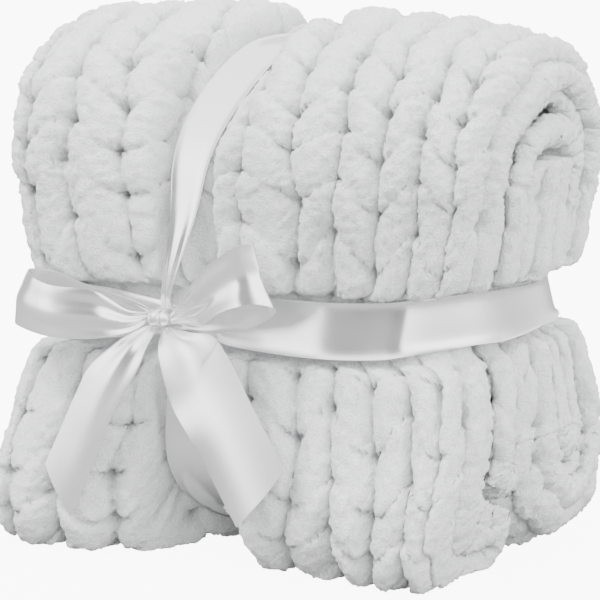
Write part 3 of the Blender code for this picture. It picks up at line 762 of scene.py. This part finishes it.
def soft_rows(table, steps):
    """A soft curve through the rows of a table, with steps lines between rows."""
    rows = np.array(table, float) / 1000
    rows = np.concatenate((rows[:1], rows, rows[-1:]))
    lines = []
    for a, b, c, d in zip(rows, rows[1:], rows[2:], rows[3:]):
        for k in range(steps):
            t = k / steps
            lines.append(b + 0.5 * t * (c - a + t * (2 * a - 5 * b + 4 * c - d + t * (3 * (b - c) + d - a))))
    return np.array(lines + [rows[-1]])


def bow_piece(name, table, crown, node, length, material):
    """A loop, held at both ends, or a tail, held at one: crowned along its middle, pleated at the knot."""
    lines = soft_rows(table, ROW_STEPS)
    share = SPREAD[None, :, None]
    middle = lines[:, :1] * (1 - share) + lines[:, 1:] * share
    up = square_to(np.gradient(middle, axis=0), np.gradient(middle, axis=1))
    gone = np.linspace(0, 1, len(lines))[:, None, None]
    root = np.exp(-gone * ROOT_FADE) + (np.exp(-(1 - gone) * ROOT_FADE) if "loop" in name else 0)
    pleats = BOW_PLEAT * root * (1 - root) * np.sin(share * BOW_PLEATS + BOW_PLEATS_FROM)
    middle = middle + up * (crown * np.sin(math.pi * share) * (1 - root) + pleats) + ORIGIN
    return thin(name, middle, material, False, [node], (RIBBON, length), "gathered", ["ribbon_knot"])


def knot(material):
    """The wrap that holds the bow, a little folded."""
    turn = np.arange(KNOT_ROUND) / KNOT_ROUND * 2 * math.pi
    u, v = np.meshgrid(np.linspace(-1, 1, KNOT_ACROSS + 1), turn, indexing="ij")
    crease = 1 + KNOT_FOLD * np.cos(u * KNOT_FOLDS + v) - KNOT_WAIST * (1 - u * u)
    full, cone, least = KNOT_ENDS
    edge = np.sqrt(np.maximum(1 - abs(u) ** 5, 0)) * full + cone * (1 - abs(u)) + least
    c, s = np.cos(v), np.sin(v)
    deep = np.copysign(abs(c) ** KNOT_SQUARE, c) * KNOT_HALF[1] * edge * crease
    high = np.copysign(abs(s) ** KNOT_SQUARE, s) * KNOT_HALF[2] * edge * crease
    points = np.stack((u * KNOT_HALF[0], deep, high), -1) + (np.array(KNOT) + ORIGIN)
    thing = build("ribbon_knot_satin", points, tube_faces(*points.shape[:2]), material)
    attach(thing, "root")
    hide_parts("ribbon_knot")
    return thing


# --- the scene --------------------------------------------------------------------------------------------

CAMERA_AT, LOOKS_DOWN, LOOKS_LEFT = (0.757, -1.5856, 0.475), 8.9, 25.7
SENSOR, LENS_TO_SENSOR = 36.0, 2109 / 600


def make_camera():
    """The photograph's view."""
    data = bpy.data.cameras.new("camera")
    data.sensor_width = SENSOR
    data.lens = SENSOR * LENS_TO_SENSOR
    camera = bpy.data.objects.new("camera", data)
    camera.location = CAMERA_AT
    camera.rotation_euler = (math.radians(90 - LOOKS_DOWN), 0.0, math.radians(LOOKS_LEFT))
    bpy.context.scene.collection.objects.link(camera)
    bpy.context.scene.camera = camera


STUDIO = (  # the light round the studio: turn from the front towards +X in degrees, share of the brightest
    (-180, 0.38), (-120, 0.38), (-104, 0.12), (-82, 0.12), (-68, 0.8), (-50, 0.8), (-44, 1.0), (-31, 1.0),
    (-22, 0.01), (5, 0.01), (18, 1.0), (80, 1.0), (108, 0.25), (180, 0.38),
)
BRIGHTEST, OVERHEAD, OVERHEAD_FROM = 4.6, 0.58, (0.45, 0.85)
LAMPS = (("key", (-0.9, -1.2, 2.2), (1.2, 1.2), 85), ("side", (2.0, -0.3, 1.0), (0.9, 1.4), 30))
LIT = Vector((0, 0, 0.25))  # what the lamps point at
FLOOR_HALF, FLOOR_DROP, FLOOR_GREY, FLOOR_GLOW = 40.0, 0.0005, 0.22, 9.0


def area_light(name, place, size, power):
    """A soft lamp that isn't mirrored in the satin."""
    data = bpy.data.lights.new(name, "AREA")
    data.shape = "RECTANGLE"
    data.size, data.size_y = size
    data.energy = power
    lamp = bpy.data.objects.new(name, data)
    lamp.location = place
    lamp.rotation_euler = (LIT - Vector(place)).to_track_quat("-Z", "Y").to_euler()
    lamp.visible_glossy = False
    bpy.context.scene.collection.objects.link(lamp)


def make_world():
    """Soft light all round, brighter from both sides of the front than from its middle."""
    world = bpy.data.worlds.new("studio")
    world.use_nodes = True
    tree = world.node_tree
    link = tree.links.new
    way = add(tree, "ShaderNodeSeparateXYZ")
    link(add(tree, "ShaderNodeTexCoord").outputs["Generated"], way.inputs["Vector"])
    back = add(tree, "ShaderNodeMath", operation="MULTIPLY")
    back.inputs[1].default_value = -1.0
    link(way.outputs["Y"], back.inputs[0])
    turn = add(tree, "ShaderNodeMath", operation="ARCTAN2")
    link(way.outputs["X"], turn.inputs[0])
    link(back.outputs["Value"], turn.inputs[1])
    share = add(tree, "ShaderNodeMapRange")
    share.inputs["From Min"].default_value = -math.pi
    share.inputs["From Max"].default_value = math.pi
    link(turn.outputs["Value"], share.inputs["Value"])
    round_it = add(tree, "ShaderNodeValToRGB")
    round_it.color_ramp.interpolation = "EASE"
    stops = round_it.color_ramp.elements
    while len(stops) < len(STUDIO):
        stops.new(0.5)
    for stop, (angle, grey) in zip(stops, STUDIO):
        stop.position = angle / 360 + 0.5
        stop.color = (grey, grey, grey, 1)
    link(share.outputs["Result"], round_it.inputs["Fac"])
    height = add(tree, "ShaderNodeMapRange", interpolation_type="SMOOTHSTEP")
    height.inputs["From Min"].default_value = OVERHEAD_FROM[0]
    height.inputs["From Max"].default_value = OVERHEAD_FROM[1]
    link(way.outputs["Z"], height.inputs["Value"])
    mixed = add(tree, "ShaderNodeMix", data_type="RGBA")
    mixed.inputs["B"].default_value = (OVERHEAD, OVERHEAD, OVERHEAD, 1)
    link(height.outputs["Result"], mixed.inputs["Factor"])
    link(round_it.outputs["Color"], mixed.inputs["A"])
    background = tree.nodes["Background"]
    background.inputs["Strength"].default_value = BRIGHTEST
    link(mixed.outputs["Result"], background.inputs["Color"])
    bpy.context.scene.world = world


def make_studio():
    """The sky, two soft lamps, and a pale floor whose own glow reaches nothing but the floor."""
    make_world()
    for lamp in LAMPS:
        area_light(*lamp)
    data = bpy.data.meshes.new("floor")
    corners = [(x * FLOOR_HALF, y * FLOOR_HALF, 0) for x, y in ((-1, -1), (1, -1), (1, 1), (-1, 1))]
    data.from_pydata(corners, [], [(0, 1, 2, 3)])
    floor = bpy.data.objects.new("floor", data)
    floor.location = (0, 0, -FLOOR_DROP)
    material, _, shader = new_material("floor_pale")
    shader.inputs["Base Color"].default_value = (FLOOR_GREY, FLOOR_GREY, FLOOR_GREY, 1)
    shader.inputs["Roughness"].default_value = 0.9
    shader.inputs["Emission Color"].default_value = (1, 1, 1, 1)
    shader.inputs["Emission Strength"].default_value = FLOOR_GLOW
    data.materials.append(material)
    bpy.context.scene.collection.objects.link(floor)
    lit = bpy.data.collections.new("lit_by_the_floor")
    lit.objects.link(floor)
    floor.light_linking.receiver_collection = lit


make_camera()
make_studio()
yarn = yarn_material()
satin = satin_material()
waist_front = total(WAY[:2]) + LEDGE
waist_back = total(WAY[:6]) + LEDGE
knitting("knit_front_lower", 0.0, waist_front, FINE, yarn)
knitting("knit_upper", waist_front, waist_back, FINE, yarn)
knitting("knit_back_lower", waist_back, INSIDE, FINE, yarn)
knitting("knit_middle", INSIDE, LENGTH, FINE_INSIDE, yarn)
upright_ribbon(satin)
waist_ribbon(satin)
knot(satin)
bow_piece("bow_loop_left_satin", LEFT_LOOP, 0.004, "bow_loop_left", 0.23, satin)
bow_piece("bow_loop_right_satin", RIGHT_LOOP, 0.004, "bow_loop_right", 0.22, satin)
bow_piece("bow_tail_left_satin", LEFT_TAIL, 0.003, "bow_tail_left", 0.165, satin)
bow_piece("bow_tail_right_satin", RIGHT_TAIL, 0.003, "bow_tail_right", 0.165, satin)
